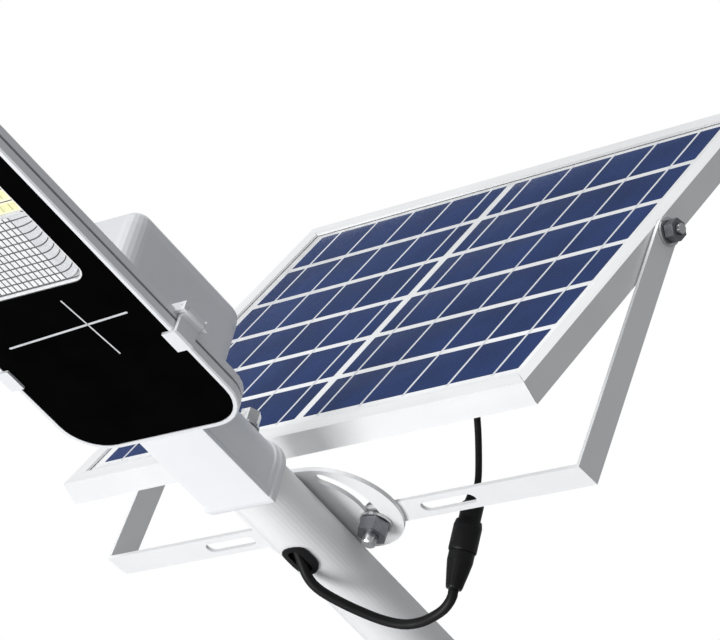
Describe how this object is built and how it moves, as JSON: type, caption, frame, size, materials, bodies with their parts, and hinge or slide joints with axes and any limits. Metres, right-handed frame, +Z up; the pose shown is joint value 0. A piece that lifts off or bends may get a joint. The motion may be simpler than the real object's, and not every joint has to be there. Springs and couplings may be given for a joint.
{
  "type": "solar street lamp",
  "caption": "Solar street lamp: lamp head clamped on a sloping wall arm, with a solar panel tilting in a swivelling U bracket and its cable.",
  "frame": {"origin": "Centre of the wall flange's back face, where the arm's axis meets the wall.", "axes": "+Z up, +Y into the wall, +X to the right of someone who faces the wall. The arm rises away from the wall towards -Y at 29.2 degrees."},
  "size_m": [0.3745, 0.7356, 0.5096],
  "materials": {
    "arm_paint": "satin powder coat, white",
    "lamp_paint": "fine satin, light grey white",
    "bracket_paint": "satin powder coat, white",
    "frame_aluminium": "satin anodised, silver",
    "fastener_steel": "zinc plated",
    "dark_steel": "dark zinc nickel",
    "black_rubber": "matt black",
    "black_plastic": "moulded black",
    "lamp_glass": "gloss, black printed border with a clear window",
    "panel_glass": "tempered, gloss, blue cells behind",
    "cell_sheet": "white backing sheet",
    "reflector_chrome": "ribbed bright reflector",
    "board_green": "printed circuit board",
    "cell_wrap": "shrink wrap, blue"
  },
  "bodies": {
    "arm": {"wall_flange": "arm_paint", "arm_tube": "arm_paint", "arm_gusset": "arm_paint", "cable_grommet": "black_rubber", "adjust_plate": "arm_paint", "swivel_stud": "fastener_steel", "swivel_washer": "fastener_steel", "swivel_nut": "fastener_steel", "lamp_lead": "black_rubber"},
    "lamp": {"front_bezel": "lamp_paint", "front_glass": "lamp_glass", "glass_gasket": "black_rubber", "lamp_housing": "lamp_paint", "reflector": "reflector_chrome", "led_board": "board_green", "driver_board": "board_green", "driver_coil": "black_plastic", "driver_chip": "black_plastic", "battery_case": "lamp_paint", "battery_cell_1": "cell_wrap", "battery_cell_2": "cell_wrap", "battery_cell_3": "cell_wrap", "neck_trough": "lamp_paint", "neck_cover": "lamp_paint", "set_bolt": "fastener_steel", "latch_pin_left": "fastener_steel", "latch_pin_right": "fastener_steel"},
    "latch_left": {"latch_left": "lamp_paint"},
    "latch_right": {"latch_right": "lamp_paint"},
    "bracket": {"u_bracket": "bracket_paint", "clamp_bolt": "fastener_steel", "clamp_washer": "fastener_steel", "clamp_nut": "dark_steel", "connector_boot": "black_plastic", "coupling_ring": "black_plastic", "connector_socket": "black_plastic"},
    "panel": {"rail_bottom": "frame_aluminium", "rail_top": "frame_aluminium", "rail_left": "frame_aluminium", "rail_right": "frame_aluminium", "panel_glass": "panel_glass", "cell_sheet": "cell_sheet", "junction_box": "black_plastic", "junction_lid": "black_plastic", "junction_gland": "black_plastic", "tilt_stud_left": "fastener_steel", "tilt_stud_right": "fastener_steel", "tilt_washer_left": "fastener_steel", "tilt_washer_right": "fastener_steel", "tilt_nut_left": "dark_steel", "tilt_nut_right": "dark_steel", "panel_lead": "black_rubber"}
  },
  "joints": [
    {"name": "lamp_roll", "type": "hinge", "parent": "arm", "child": "lamp", "pos_m": [0, -0.43646, 0.24393], "axis": [0, 0.8729, -0.4879], "range_deg": [-14.5, 25.4]},
    {"name": "bracket_swivel", "type": "hinge", "parent": "arm", "child": "bracket", "pos_m": [-0.0041, -0.33171, 0.18539], "axis": [0, 0.4879, 0.8729], "range_deg": [-25, 6.2], "deforming": ["lamp_lead"]},
    {"name": "panel_tilt", "type": "hinge", "parent": "bracket", "child": "panel", "pos_m": [-0.00235, -0.23033, 0.33378], "axis": [-0.9942, 0.0943, -0.0527], "range_deg": [-4.8, 55.2], "deforming": ["panel_lead"]},
    {"name": "latch_right_hinge", "type": "hinge", "parent": "lamp", "child": "latch_right", "pos_m": [0.06073, -0.49536, 0.27382], "axis": [0, -0.8729, 0.4879], "range_deg": [0, 100]},
    {"name": "latch_left_hinge", "type": "hinge", "parent": "lamp", "child": "latch_left", "pos_m": [-0.05913, -0.50094, 0.26384], "axis": [0, 0.8729, -0.4879], "range_deg": [0, 100]}
  ]
}
